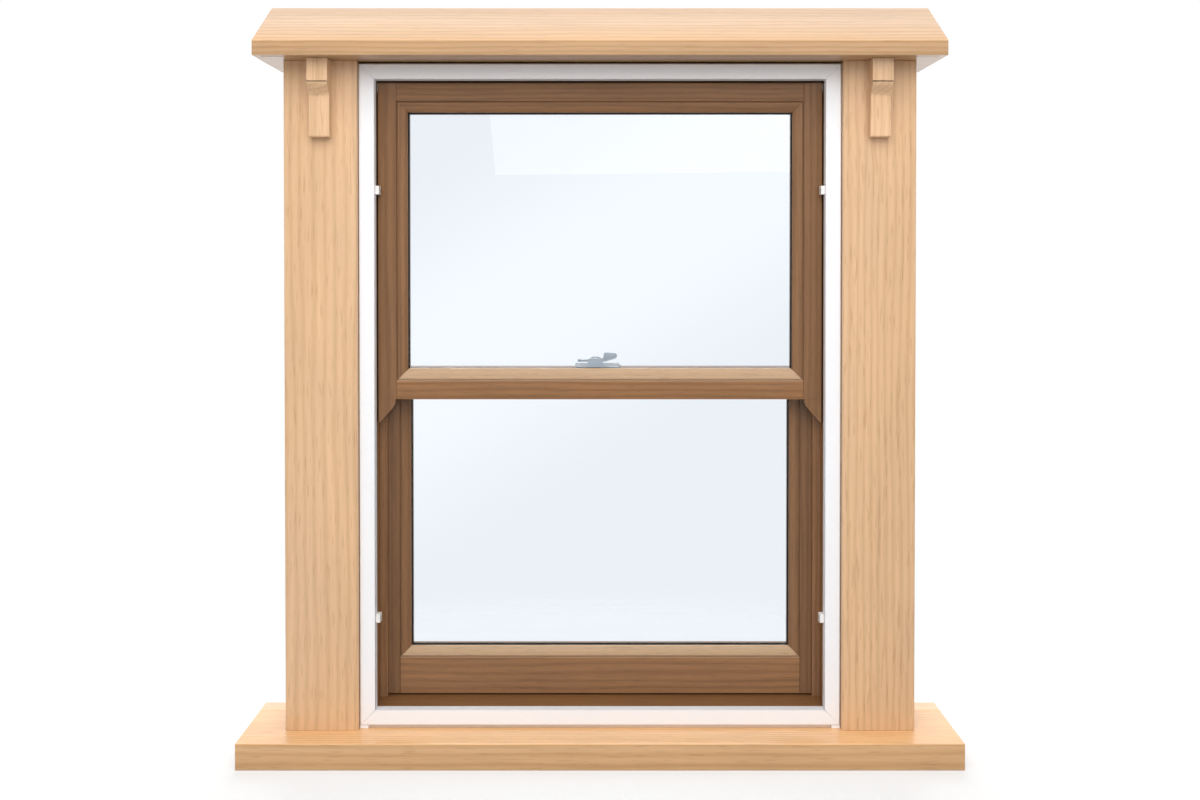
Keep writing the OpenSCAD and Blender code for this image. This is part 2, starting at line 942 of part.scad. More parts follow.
module lower_bottom_rail() {
    shoulder_z = lower_sight - moulding_w;
    color(BROWN_OAK)
        difference() {
            union() {
                bar_x(2 * rebate_x, eased(
                    [
                        [lower_y, lower_low], [lower_y, shoulder_z],
                        [lower_y + lip_v, shoulder_z], [lower_y + lip_v, lower_low]
                    ],
                    [0, bright_edge, 0, 0]));
                bar_x(2 * sight_x, eased(
                    [
                        [lower_y + lip_v, lower_low], [lower_y + lip_v, lower_sight],
                        [lower_back, lower_sight], [lower_back, lower_low]
                    ],
                    [0, 0, soft_edge, 0]));
                tenons(lower_y, bottom_tenon[0], bottom_tenon[1]);
            }
            under_lower_sash();
        }
}

// Each sash's glazing sits between these heights: [front face, low, high]
upper_glazing = [upper_y, meet_z - moulding_w, upper_top - top_rail_h + moulding_w];
lower_glazing = [lower_y, lower_sight - moulding_w, meet_low + moulding_w];

// The glazing bead's section: a groove, a small step and a round that runs down to the glass
function bead_section(y_front, cover) =
    let (end_u = quirk_w + bead_w + cover, round_u = quirk_w + 4, round_v = 1, step_edge = 0.7, steps = 8)
    concat(
        [
            [0, y_front + bead_d], [0, y_front + quirk_d], [quirk_w, y_front + quirk_d],
            [quirk_w, y_front + step_edge], [quirk_w + step_edge, y_front], [round_u, y_front]
        ],
        [for (i = [0 : steps])
            let (turn = 90 * i / steps)
            [
                round_u + (end_u - round_u) * sin(turn),
                y_front + round_v + (bead_d - bead_edge - round_v) * (1 - cos(turn))
            ]],
        [[end_u, y_front + bead_d]]);

// A glazing bead, made wider by cover where it hides the gasket
module glazing_bead(side, glazing, cover = 0) {
    color(BEAD_OAK)
        ring_side(side, rebate_x, glazing[1], glazing[2], bead_section(glazing[0], cover));
}

// A gasket wrapped around the glass edge, seen as a black line beside the bead
module gasket(glazing) {
    y_front = glazing[0] + bead_d;
    y_back = glazing[0] + lip_v;
    color(BLACK)
        difference() {
            plate_y(y_front, y_back, [
                [-rebate_x, glazing[1]], [rebate_x, glazing[1]], [rebate_x, glazing[2]], [-rebate_x, glazing[2]]
            ]);
            pane(glazing, 0);
            block(
                [-rebate_x + moulding_w, y_front - OVER, glazing[1] + moulding_w],
                [rebate_x - moulding_w, y_back + OVER, glazing[2] - moulding_w]);
        }
}

module pane(glazing, grow) {
    edge = gasket_back - grow;
    block(
        [-rebate_x + edge, glazing[0] + glass_v - grow, glazing[1] + edge],
        [rebate_x - edge, glazing[0] + glass_v + glass_t + grow, glazing[2] - edge]);
}

module upper_glass() {
    color(CLEAR, 0.35)
        pane(upper_glazing, 0);
}

module lower_glass() {
    color(CLEAR, 0.35)
        pane(lower_glazing, 0);
}

module upper_gasket() {
    gasket(upper_glazing);
}

module lower_gasket() {
    gasket(lower_glazing);
}

// --- Spiral balances ---

// A tube over each groove: open below for the bush, solid at the top, with a boss against the jamb
module balance_tube(y) {
    half_boss = 5;
    color(STEEL)
        difference() {
            union() {
                translate([-balance_x, y, tube_low])
                    cylinder(h = tube_top - tube_low, r = tube_d / 2);
                block([-jamb_x, y - half_boss, tube_top - plug_h], [-balance_x, y + half_boss, tube_top]);
            }
            translate([-balance_x, y, tube_low - OVER])
                cylinder(h = tube_top - plug_h - tube_low + OVER, r = tube_bore / 2);
        }
}

module balance_tubes() {
    difference() {
        both_sides()
            for (y = balance_ys)
                balance_tube(y);
        at_frame_screws()
            screw_hole(frame_screw_l);
    }
}

// The close coils of each torsion spring, which line the tube
module balance_springs() {
    color(STEEL)
        both_sides()
            for (y = balance_ys)
                translate([-balance_x, y, spring_low])
                    difference() {
                        cylinder(h = spring_h, r = spring_out);
                        translate([0, 0, -OVER])
                            cylinder(h = spring_h + 2 * OVER, r = spring_out - spring_wall);
                    }
}

// A strip twisted at a constant pitch, standing on a foot in the groove
module balance_rod(y, z_low, z_high) {
    half_foot = 6;
    foot_out = 5;
    twist_h = z_high - z_low - foot_t;
    turns = twist_h / strip_pitch;
    color(STEEL) {
        both_sides()
            block(
                [-balance_x - foot_out, y - half_foot, z_low],
                [groove_d - sash_x, y + half_foot, z_low + foot_h]);
        for (x = [-balance_x, balance_x])
            translate([x, y, z_low + foot_t])
                linear_extrude(twist_h, twist = 360 * turns, slices = round(SLICES * turns), segments = 4)
                    square([strip_w, strip_t], center = true);
    }
}

module upper_balance_rods() {
    balance_rod(balance_ys[0], upper_groove_z, strip_top);
}

module lower_balance_rods() {
    balance_rod(balance_ys[1], lower_groove_z, strip_low_top);
}

// The turning bush under a tube: its slot lies along the strip where the two meet
module bush(x, y, strip_z) {
    slot_turn = -360 * (web_z - strip_z - foot_t) / strip_pitch;
    bore = strip_w / 2 + 0.5;
    slot_w = strip_t + 1.6;
    web = 1.5;
    color(WHITE)
        translate([x, y, 0])
            difference() {
                union() {
                    translate([0, 0, collar_z])
                        cylinder(h = collar_h, r = tube_d / 2);
                    translate([0, 0, tube_low - OVER])
                        cylinder(h = spigot_h + OVER, r = tube_bore / 2 - bush_gap);
                }
                translate([0, 0, collar_z - OVER])
                    cylinder(h = web_z - web / 2 - collar_z + OVER, r = bore);
                translate([0, 0, web_z + web / 2])
                    cylinder(h = tube_low + spigot_h - web_z, r = bore);
                translate([0, 0, web_z])
                    rotate([0, 0, slot_turn])
                        cube([2 * bore, slot_w, 2 * web], center = true);
            }
}

module upper_bush_left() {
    bush(-balance_x, balance_ys[0], upper_groove_z);
}

module upper_bush_right() {
    bush(balance_x, balance_ys[0], upper_groove_z);
}

module lower_bush_left() {
    bush(-balance_x, balance_ys[1], lower_groove_z);
}

module lower_bush_right() {
    bush(balance_x, balance_ys[1], lower_groove_z);
}

// --- Fastener ---

// The keep's sloping flange, measured from its front edge
keep_slope = 32;
keep_front_h = 2;
keep_flat = 1.5;
keep_top_h = keep_front_h + (keep_d - keep_flat) * tan(keep_slope);

module at_keep_screws() {
    mid = (keep_d - keep_flat) / 2;
    for (x = [keep_x - keep_screw, keep_x + keep_screw])
        translate([x, keep_y + mid, meet_z + keep_front_h + mid * tan(keep_slope)])
            rotate([keep_slope, 0, 0])
                children();
}

module at_fastener_screws() {
    for (x = [base_x - base_screw, base_x + base_screw])
        translate([x, pivot_y, meet_z + base_t])
            children();
}

// The keep on the upper rail: a sloping flange and a hook that the tongue turns under
module keep() {
    wall = 2.5;
    taper = 2;
    half = hook_w / 2;
    color(ZINC)
        difference() {
            union() {
                translate([keep_x, 0, 0])
                    bar_x(keep_w, [
                        [keep_y, meet_z], [keep_y, meet_z + keep_front_h],
                        [keep_y + keep_d - keep_flat, meet_z + keep_top_h],
                        [keep_y + keep_d, meet_z + keep_top_h], [keep_y + keep_d, meet_z]
                    ]);
                plate_y(keep_y, keep_y + keep_d, eased(
                    [
                        [pivot_x - half, meet_z], [pivot_x - half + taper, hook_top],
                        [pivot_x + half - taper, hook_top], [pivot_x + half, meet_z]
                    ],
                    [0, 1.2, 1.2, 0]));
            }
            block(
                [pivot_x - half - OVER, keep_y + wall, meet_z + keep_top_h],
                [pivot_x + half + OVER, keep_y + keep_d + OVER, hook_z]);
            at_keep_screws()
                screw_hole(small_screw_l);
        }
}

module keep_screws() {
    color(STEEL)
        at_keep_screws()
            wood_screw(small_screw_l);
}

module fastener_base() {
    half_w = base_w / 2;
    half_d = base_d / 2;
    color(ZINC)
        difference() {
            union() {
                translate([0, 0, meet_z])
                    linear_extrude(base_t)
                        polygon(eased(
                            [
                                [base_x - half_w, pivot_y - half_d], [base_x + half_w, pivot_y - half_d],
                                [base_x + half_w, pivot_y + half_d], [base_x - half_w, pivot_y + half_d]
                            ],
                            [3, 3, 3, 3]));
                translate([pivot_x, pivot_y, meet_z])
                    cylinder(h = boss_z - meet_z, r = hub_r - hub_taper);
            }
            translate([pivot_x, pivot_y, meet_z - OVER])
                cylinder(h = boss_z - meet_z + 2 * OVER, r = rivet_r + rivet_gap);
            at_fastener_screws()
                screw_hole(small_screw_l);
        }
}

module fastener_screws() {
    color(STEEL)
        at_fastener_screws()
            wood_screw(small_screw_l);
}

// The rivet that the lever turns on, with a flat head over the hub
module fastener_pivot() {
    low = meet_z - rivet_depth;
    rivet_z = hub_top + turn_gap;
    rim = 0.7;
    crown = 1.9;
    color(STEEL)
        translate([pivot_x, pivot_y, 0])
            rotate_extrude()
                polygon([
                    [0, low], [rivet_r, low], [rivet_r, rivet_z], [2 * rivet_r, rivet_z],
                    [2 * rivet_r, rivet_z + rim], [1.5 * rivet_r, rivet_z + crown - rim / 3],
                    [0, rivet_z + crown]
                ]);
}

// The lever: a hub, a flat tongue that swings under the hook and an upturned thumb paddle
module fastener_lever() {
    tip_r = 4.5;
    rise = tongue_z - meet_z;
    neck_top = rise + tongue_t + 2;
    paddle_z = rise + 2.4;
    paddle_x = hub_r + tip_r;
    paddle_end = paddle_x + paddle_l;
    half_t = 3;
    paddle_top = paddle_z + paddle_h;
    color(ZINC)
        difference() {
            union() {
                translate([pivot_x, pivot_y, boss_z + turn_gap])
                    cylinder(h = hub_h - turn_gap, r1 = hub_r, r2 = hub_r - hub_taper);
                translate([pivot_x, pivot_y, tongue_z])
                    linear_extrude(tongue_t) {
                        translate([tip_r - tongue_reach, -tip_r])
                            square([tongue_reach - tip_r, 2 * tip_r]);
                        translate([tip_r - tongue_reach, 0])
                            circle(r = tip_r);
                    }
                translate([pivot_x, 0, meet_z])
                    plate_y(pivot_y - half_t, pivot_y + half_t, eased(
                        [
                            [hub_r / 2, rise], [paddle_x + 2, rise], [paddle_x + 2 * tip_r, paddle_z],
                            [paddle_end, paddle_z + 4], [paddle_end, paddle_top - 1.5],
                            [paddle_x, paddle_top], [paddle_x - 1, neck_top], [hub_r / 2, neck_top]
                        ],
                        [0, 2, 3, 4, 4, 3, 2, 0]));
            }
            translate([pivot_x, pivot_y, boss_z - OVER])
                cylinder(h = hub_top - boss_z + 2 * OVER, r = rivet_r + rivet_gap);
        }
}

module upper_bead_top() {
    glazing_bead("top", upper_glazing);
}

module upper_bead_bottom() {
    glazing_bead("bottom", upper_glazing, gasket_w);
}

module upper_bead_left() {
    glazing_bead("left", upper_glazing);
}

module upper_bead_right() {
    glazing_bead("right", upper_glazing);
}

module lower_bead_top() {
    glazing_bead("top", lower_glazing);
}

module lower_bead_bottom() {
    glazing_bead("bottom", lower_glazing);
}

module lower_bead_left() {
    glazing_bead("left", lower_glazing);
}

module lower_bead_right() {
    glazing_bead("right", lower_glazing);
}

sill_board();
sill_back_strip();
post_left();
post_right();
hood_board();
bracket_left();
bracket_right();
trim_head();
trim_sill();
trim_left();
trim_right();
trim_corner_cleats();
trim_packer();
retainer_clips();
frame_screws();
frame_head();
frame_jamb_left();
frame_jamb_right();
frame_sill();
parting_bead_left();
parting_bead_right();
parting_bead_head();
staff_bead_left();
staff_bead_right();
staff_bead_head();
staff_bead_sill();
balance_tubes();
balance_springs();
upper_top_rail();
upper_meeting_rail();
upper_stile_left();
upper_stile_right();
upper_glass();
upper_gasket();
upper_bead_top();
upper_bead_bottom();
upper_bead_left();
upper_bead_right();
upper_balance_rods();
keep();
keep_screws();
lower_meeting_rail();
lower_bottom_rail();
lower_stile_left();
lower_stile_right();
lower_glass();
lower_gasket();
lower_bead_top();
lower_bead_bottom();
lower_bead_left();
lower_bead_right();
lower_balance_rods();
fastener_base();
fastener_pivot();
fastener_screws();
fastener_lever();
upper_bush_left();
upper_bush_right();
lower_bush_left();
lower_bush_right();
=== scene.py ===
"""Finishes, small rounded edges, studio light and camera for a vertical sliding sash window."""

import json
import math

import bmesh
import bpy
from bpy.props import FloatProperty, FloatVectorProperty, IntProperty, PointerProperty
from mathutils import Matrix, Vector

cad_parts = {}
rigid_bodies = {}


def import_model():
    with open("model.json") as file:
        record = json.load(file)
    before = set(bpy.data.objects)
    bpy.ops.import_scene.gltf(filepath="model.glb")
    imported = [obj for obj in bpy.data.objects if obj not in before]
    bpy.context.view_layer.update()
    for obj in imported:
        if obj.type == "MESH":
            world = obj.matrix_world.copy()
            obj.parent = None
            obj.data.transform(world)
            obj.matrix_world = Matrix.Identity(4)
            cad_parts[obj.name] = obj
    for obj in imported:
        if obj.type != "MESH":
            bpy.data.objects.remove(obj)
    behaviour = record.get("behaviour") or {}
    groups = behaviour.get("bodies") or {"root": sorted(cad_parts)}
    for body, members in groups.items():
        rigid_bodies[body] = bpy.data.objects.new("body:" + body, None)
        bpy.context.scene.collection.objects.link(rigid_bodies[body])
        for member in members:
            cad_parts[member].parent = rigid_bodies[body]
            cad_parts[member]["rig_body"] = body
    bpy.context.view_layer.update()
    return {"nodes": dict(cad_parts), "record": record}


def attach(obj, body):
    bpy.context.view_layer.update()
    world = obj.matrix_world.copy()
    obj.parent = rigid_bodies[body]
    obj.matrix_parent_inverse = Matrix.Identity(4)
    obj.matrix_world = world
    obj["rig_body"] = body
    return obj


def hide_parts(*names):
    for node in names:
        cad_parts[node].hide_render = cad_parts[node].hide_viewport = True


bl_info = {
    "name": "Sash window",
    "version": (1, 0, 0),
    "blender": (4, 5, 0),
    "location": "View3D > Sidebar > Sash window",
    "description": "Finishes the pieces of an oak sash window and lights them",
    "category": "Object",
}

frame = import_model()

MM = 0.001
UPRIGHT, LEVEL = "Z", "X"
AXES = {"X": 0, "Y": 1, "Z": 2}
GOLDEN = 0.618034
SHARP_ANGLE = math.radians(28)
# Points closer than this are one point, and faces flatter than this are one face
WELD, FLAT_ANGLE = 0.002 * MM, math.radians(0.5)
# A corner is rounded where its faces reach this many times the rounding
ROOM_TO_ROUND = 2.3
# Upward part of the normal of a sloping face, and of a level one
SLOPING, LEVEL_TOP = 0.3, 0.97
# The part of a noise's range that holds nearly all its values
NOISE_LOW, NOISE_HIGH = 0.3, 0.7
SLOTS = {part["node"]: part["material_slot"] for part in frame["record"]["subparts"]}
BOARDS = sorted(frame["nodes"])


def linear(code):
    """Turns an sRGB hex colour into linear red, green and blue."""
    values = [int(code[i : i + 2], 16) / 255 for i in (1, 3, 5)]
    return tuple(
        v / 12.92 if v <= 0.04045 else ((v + 0.055) / 1.055) ** 2.4 for v in values
    )


def shade(colour):
    """Linear colour with full opacity, for a shader socket."""
    return (*colour, 1.0)


def add(tree, kind, sockets=None, **settings):
    """Adds one shader node, sets its options, and links or fills its sockets."""
    made = tree.nodes.new("ShaderNode" + kind)
    for option, value in settings.items():
        setattr(made, option, value)
    for socket, source in (sockets or {}).items():
        if isinstance(source, bpy.types.NodeSocket):
            tree.links.new(source, made.inputs[socket])
        else:
            made.inputs[socket].default_value = source
    return made


def new_material(name):
    """An empty material: its tree, its Principled shader and its object coordinates."""
    material = bpy.data.materials.new(name)
    material.use_nodes = True
    tree = material.node_tree
    tree.nodes.clear()
    shader = add(tree, "BsdfPrincipled")
    add(tree, "OutputMaterial", {"Surface": shader.outputs["BSDF"]})
    coords = add(tree, "TexCoord").outputs["Object"]
    return material, tree, shader, coords


# ---------------------------------------------------------------- wood

# How many times longer along the grain than across it each pattern is drawn
WANDER_LONG, RING_LONG, FIBRE_LONG, PORE_LONG, CLOUD_LONG = 7, 14, 38, 17, 3.5
# From one board's place in the log to the next, in metres
LOG_STEP = (3.7, 5.3, 2.9)
# A wave's phase in radians to the unit at scale 1
WAVE_PHASE = 20
# How narrow the late wood is in each ring
LATE_NARROWNESS = 2.2
# Noise values where a pore begins and where it is fully open
PORE_EDGE, PORE_OPEN = 0.585, 0.70
# Size of the timber's broad cloudiness, and how far it changes the tone
CLOUD_MM, CLOUD_DEPTH = 70, 0.05
# How much duller the hollows and glossier the crests of the fibres are
DULLER, GLOSSIER = 0.07, 0.05
RELIEF_MM = 0.4
OIL_IOR = 1.5
COAT_ROUGHNESS = 0.22


def oak(name, look, grain):
    """Sawn and planed oak: growth rings seen as long bands, fine fibre streaks and dark open
    pores, all drawn through the thickness so that ends show end grain."""
    material, tree, shader, coords = new_material(name)
    along = AXES[grain]
    board = add(tree, "Attribute", attribute_name="board").outputs["Fac"]
    # tone_and_shade: each board's own depth of colour, together with painted shade that darkens
    # pieces in recesses and fronts, and painted light that brightens rails and faces that look up
    tone_and_shade = add(tree, "Attribute", attribute_name="tone_and_shade").outputs["Fac"]
    # bloom_and_highlight: a paler dry surface on some boards, together with a painted highlight on
    # faces sloping up, the bottom beads, the rails and the brackets in the hood's shade
    bloom_and_highlight = add(tree, "Attribute", attribute_name="bloom_and_highlight").outputs["Fac"]
    # Each board is cut from another place in the log
    place = add(
        tree, "VectorMath", {0: LOG_STEP, 3: board}, operation="SCALE"
    ).outputs[0]
    wood = add(tree, "VectorMath", {0: coords, 1: place}, operation="ADD").outputs[0]

    def drawn_out(length):
        """Coordinates shortened along the grain, so that a pattern becomes that much longer."""
        scale = [1.0, 1.0, 1.0]
        scale[along] = 1 / length
        return add(
            tree, "VectorMath", {0: wood, 1: scale}, operation="MULTIPLY"
        ).outputs[0]

    # The log's slow wander, which turns straight rings into cathedral bands
    wander = add(
        tree,
        "TexNoise",
        {
            "Vector": drawn_out(WANDER_LONG),
            "Scale": 1000 / look.wander_mm,
            "Detail": 2.0,
            "Roughness": 0.45,
        },
    ).outputs["Color"]
    centred = add(
        tree, "VectorMath", {0: wander, 1: (0.5, 0.5, 0.5)}, operation="SUBTRACT"
    ).outputs[0]
    pushed = add(
        tree,
        "VectorMath",
        {0: centred, 3: look.bend_mm * MM},
        operation="SCALE",
    ).outputs[0]
    bent = add(
        tree, "VectorMath", {0: drawn_out(RING_LONG), 1: pushed}, operation="ADD"
    ).outputs[0]
    rings = add(
        tree,
        "TexWave",
        {
            "Vector": bent,
            "Scale": math.tau / (WAVE_PHASE * look.ring_mm * MM),
            "Distortion": 1.2,
            "Detail": 3.0,
            "Detail Scale": 0.8,
            "Detail Roughness": 0.6,
        },
        wave_type="RINGS",
        rings_direction=grain,
        wave_profile="SIN",
    ).outputs["Fac"]
    late = add(tree, "Math", {0: rings, 1: LATE_NARROWNESS}, operation="POWER").outputs[0]
    # Fibre bundles, a real 0.5 mm or less, drawn wide enough to be seen
    fibre = add(
        tree,
        "TexNoise",
        {
            "Vector": drawn_out(FIBRE_LONG),
            "Scale": 1000 / look.fibre_mm,
            "Detail": 4.0,
            "Roughness": 0.62,
        },
    ).outputs["Fac"]
    # Open pores, dark dashes about 10 to 20 mm long, thinner in real oak than drawn here
    pore_field = add(
        tree,
        "TexNoise",
        {
            "Vector": drawn_out(PORE_LONG),
            "Scale": 1000 / look.pore_mm,
            "Detail": 1.0,
            "Roughness": 0.5,
        },
    ).outputs["Fac"]
    pores = add(
        tree,
        "MapRange",
        {0: pore_field, 1: PORE_EDGE, 2: PORE_OPEN, 3: 0.0, 4: 1.0},
        clamp=True,
    ).outputs[0]
    # Broad cloudiness of the timber and its oil
    cloud = add(
        tree,
        "TexNoise",
        {"Vector": drawn_out(CLOUD_LONG), "Scale": 1000 / CLOUD_MM, "Detail": 2.0},
    ).outputs["Fac"]

    banded = add(
        tree,
        "Mix",
        {
            0: add(
                tree, "Math", {0: late, 1: look.ring_depth}, operation="MULTIPLY"
            ).outputs[0],
            6: shade(look.early),
            7: shade(look.late),
        },
        data_type="RGBA",
    ).outputs[2]
    streak = add(
        tree,
        "MapRange",
        {
            0: fibre,
            1: NOISE_LOW,
            2: NOISE_HIGH,
            3: 1.0 - look.streak_depth,
            4: 1.0 + look.streak_depth,
        },
    ).outputs[0]
    haze = add(
        tree,
        "MapRange",
        {0: cloud, 1: NOISE_LOW, 2: NOISE_HIGH, 3: 1 - CLOUD_DEPTH, 4: 1 + CLOUD_DEPTH},
    ).outputs[0]
    worked = add(tree, "Math", {0: streak, 1: haze}, operation="MULTIPLY").outputs[0]
    toned = add(tree, "Math", {0: worked, 1: tone_and_shade}, operation="MULTIPLY").outputs[0]
    deep = add(
        tree, "VectorMath", {0: banded, 3: toned}, operation="SCALE"
    ).outputs[0]
    # Mixes in bloom_and_highlight_colour: paler dry wood, and a painted highlight where
    # bloom_and_highlight marks it
    body = add(
        tree,
        "Mix",
        {0: bloom_and_highlight, 6: deep, 7: shade(look.bloom_and_highlight_colour)},
        data_type="RGBA",
    ).outputs[2]
    final = add(
        tree,
        "Mix",
        {
            0: add(
                tree, "Math", {0: pores, 1: look.pore_depth}, operation="MULTIPLY"
            ).outputs[0],
            6: body,
            7: shade(look.pore),
        },
        data_type="RGBA",
    ).outputs[2]
    tree.links.new(final, shader.inputs["Base Color"])
    sheen = add(
        tree,
        "MapRange",
        {
            0: fibre,
            1: NOISE_LOW,
            2: NOISE_HIGH,
            3: look.roughness + DULLER,
            4: look.roughness - GLOSSIER,
        },
    ).outputs[0]
    tree.links.new(sheen, shader.inputs["Roughness"])
    relief = add(
        tree,
        "Math",
        {0: fibre, 1: pores},
        operation="SUBTRACT",
    ).outputs[0]
    bump = add(
        tree,
        "Bump",
        {"Height": relief, "Strength": look.relief, "Distance": RELIEF_MM * MM},
    ).outputs["Normal"]
    tree.links.new(bump, shader.inputs["Normal"])
    shader.inputs["IOR"].default_value = OIL_IOR
    shader.inputs["Coat Weight"].default_value = look.coat
    shader.inputs["Coat Roughness"].default_value = COAT_ROUGHNESS
    return material


# ---------------------------------------------------------------- other finishes


def grained(
    name,
    colour,
    roughness,
    grain_mm,
    relief=0.1,
    relief_mm=0.05,
    metallic=0.0,
    ior=None,
    spread=0.06,
    tint=0.03,
    stretch=(1.0, 1.0, 1.0),
):
    """A plain finish with a real grain: its noise varies the colour, the gloss and the relief.
    A metal keeps the shader's own IOR."""
    material, tree, shader, coords = new_material(name)
    place = add(
        tree, "VectorMath", {0: coords, 1: stretch}, operation="MULTIPLY"
    ).outputs[0]
    grain = add(
        tree,
        "TexNoise",
        {"Vector": place, "Scale": 1000 / grain_mm, "Detail": 3.0, "Roughness": 0.55},
    ).outputs["Fac"]
    level = add(
        tree,
        "MapRange",
        {0: grain, 1: NOISE_LOW, 2: NOISE_HIGH, 3: 1 - tint, 4: 1 + tint},
    ).outputs[0]
    colour_out = add(
        tree, "VectorMath", {0: colour, 3: level}, operation="SCALE"
    ).outputs[0]
    tree.links.new(colour_out, shader.inputs["Base Color"])
    gloss = add(
        tree,
        "MapRange",
        {
            0: grain,
            1: NOISE_LOW,
            2: NOISE_HIGH,
            3: roughness - spread,
            4: roughness + spread,
        },
    ).outputs[0]
    tree.links.new(gloss, shader.inputs["Roughness"])
    bump = add(
        tree,
        "Bump",
        {"Height": grain, "Strength": relief, "Distance": relief_mm * MM},
    ).outputs["Normal"]
    tree.links.new(bump, shader.inputs["Normal"])
    shader.inputs["Metallic"].default_value = metallic
    if ior:
        shader.inputs["IOR"].default_value = ior
    return material


def float_glass(name, tint):
    """Clear float glass: a faint blue cast and the very slight waviness that bends reflections."""
    material, tree, shader, coords = new_material(name)
    wave = add(
        tree, "TexNoise", {"Vector": coords, "Scale": 1000 / 180, "Detail": 1.0}
    ).outputs["Fac"]
    bump = add(
        tree, "Bump", {"Height": wave, "Strength": 0.05, "Distance": 0.2 * MM}
    ).outputs["Normal"]
    tree.links.new(bump, shader.inputs["Normal"])
    shader.inputs["Base Color"].default_value = shade(tint)
    shader.inputs["Roughness"].default_value = 0.0
    shader.inputs["IOR"].default_value = 1.52
    shader.inputs["Transmission Weight"].default_value = 1.0
    return material


FINISHES = {}


def finish(slot, grain=None):
    """The material for a slot, made once. Oak has one for upright and one for level grain."""
    key = (slot, grain)
    if key in FINISHES:
        return FINISHES[key]
    looks = bpy.context.scene.sash_window
    word = "upright" if grain == UPRIGHT else "level"
    if slot == "light_oak":
        made = oak(f"Oiled light oak, {word} grain", looks.light_oak, grain)
    elif slot == "brown_oak":
        made = oak(f"Walnut stained oak, {word} grain", looks.brown_oak, grain)
    elif slot == "white_trim":
        # Powder coat: an even satin white with faint orange peel, 2 mm across
        made = grained(
            "White powder coat on aluminium",
            looks.metal.powder_coat,
            0.42,
            grain_mm=2.2,
            relief=0.12,
            relief_mm=0.06,
            ior=1.5,
            spread=0.05,
            tint=0.012,
        )
    elif slot in ("white_nylon", "bush_nylon"):
        # Moulded nylon: milky white, faintly mottled by the mould's spark finish
        made = grained(
            "Moulded white nylon",
            looks.metal.nylon,
            0.5,
            grain_mm=0.9,
            relief=0.1,
            ior=1.53,
            tint=0.02,
        )
    elif slot == "clear_glass":
        made = float_glass("Clear float glass", looks.glass.tint)
    elif slot == "rubber_gasket":
        # Extruded rubber: nearly black and dull, with fine marks drawn along it by the die
        made = grained(
            "Extruded black rubber",
            looks.glass.gasket,
            0.72,
            grain_mm=1.0,
            relief=0.2,
            ior=1.52,
            tint=0.15,
        )
    elif slot == "satin_zinc":
        # Die-cast zinc, satin plated: soft wide highlights and a barely visible blasted grain
        made = grained(
            "Satin plated die-cast zinc",
            looks.metal.zinc,
            0.34,
            grain_mm=0.7,
            relief=0.12,
            relief_mm=0.03,
            metallic=1.0,
            spread=0.07,
            tint=0.05,
        )
    elif slot == "cast_cleat":
        # Sand cast aluminium: dull grey with a coarse grain
        made = grained(
            "Cast aluminium",
            looks.metal.cast,
            0.6,
            grain_mm=1.2,
            relief=0.4,
            relief_mm=0.15,
            metallic=1.0,
            tint=0.08,
        )
    elif slot == "tube_aluminium":
        # Drawn tube: pale, with long die lines that stretch its highlights
        made = grained(
            "Drawn aluminium tube",
            looks.metal.tube,
            0.3,
            grain_mm=0.8,
            metallic=1.0,
            tint=0.06,
            stretch=(1.0, 1.0, 0.03),
        )
    elif slot == "spring_steel":
        # Zinc plated spring steel: cool grey, streaked by rolling
        made = grained(
            "Zinc plated spring steel",
            looks.metal.spring,
            0.32,
            grain_mm=0.8,
            metallic=1.0,
            tint=0.1,
            stretch=(1.0, 1.0, 0.1),
        )
    else:
        # Bright zinc plate on steel: light grey with a slight mottle
        made = grained(
            "Bright zinc plated steel",
            looks.metal.screw,
            0.28,
            grain_mm=1.0,
            metallic=1.0,
            tint=0.08,
        )
    FINISHES[key] = made
    return made


# ---------------------------------------------------------------- shapes


def reach(face, edge):
    """How far a face goes from one of its edges."""
    start = edge.verts[0].co
    way = (edge.verts[1].co - start).normalized()
    return max((v.co - start).cross(way).length for v in face.verts)


def ease_edges(mesh, width):
    """Joins the mesh's triangles into whole faces and marks its outward corners for rounding."""
    built = bmesh.new()
    built.from_mesh(mesh)
    bmesh.ops.remove_doubles(built, verts=built.verts, dist=WELD)
    bmesh.ops.dissolve_limit(
        built,
        angle_limit=FLAT_ANGLE,
        verts=built.verts,
        edges=built.edges,
    )
    weight = built.edges.layers.float.new("bevel_weight_edge")
    for edge in built.edges:
        if width <= 0 or len(edge.link_faces) != 2 or not edge.is_convex:
            continue
        if edge.calc_face_angle(0.0) < SHARP_ANGLE or edge.calc_length() < 2 * width:
            continue
        if min(reach(face, edge) for face in edge.link_faces) > ROOM_TO_ROUND * width:
            edge[weight] = 1.0
    built.to_mesh(mesh)
    built.free()


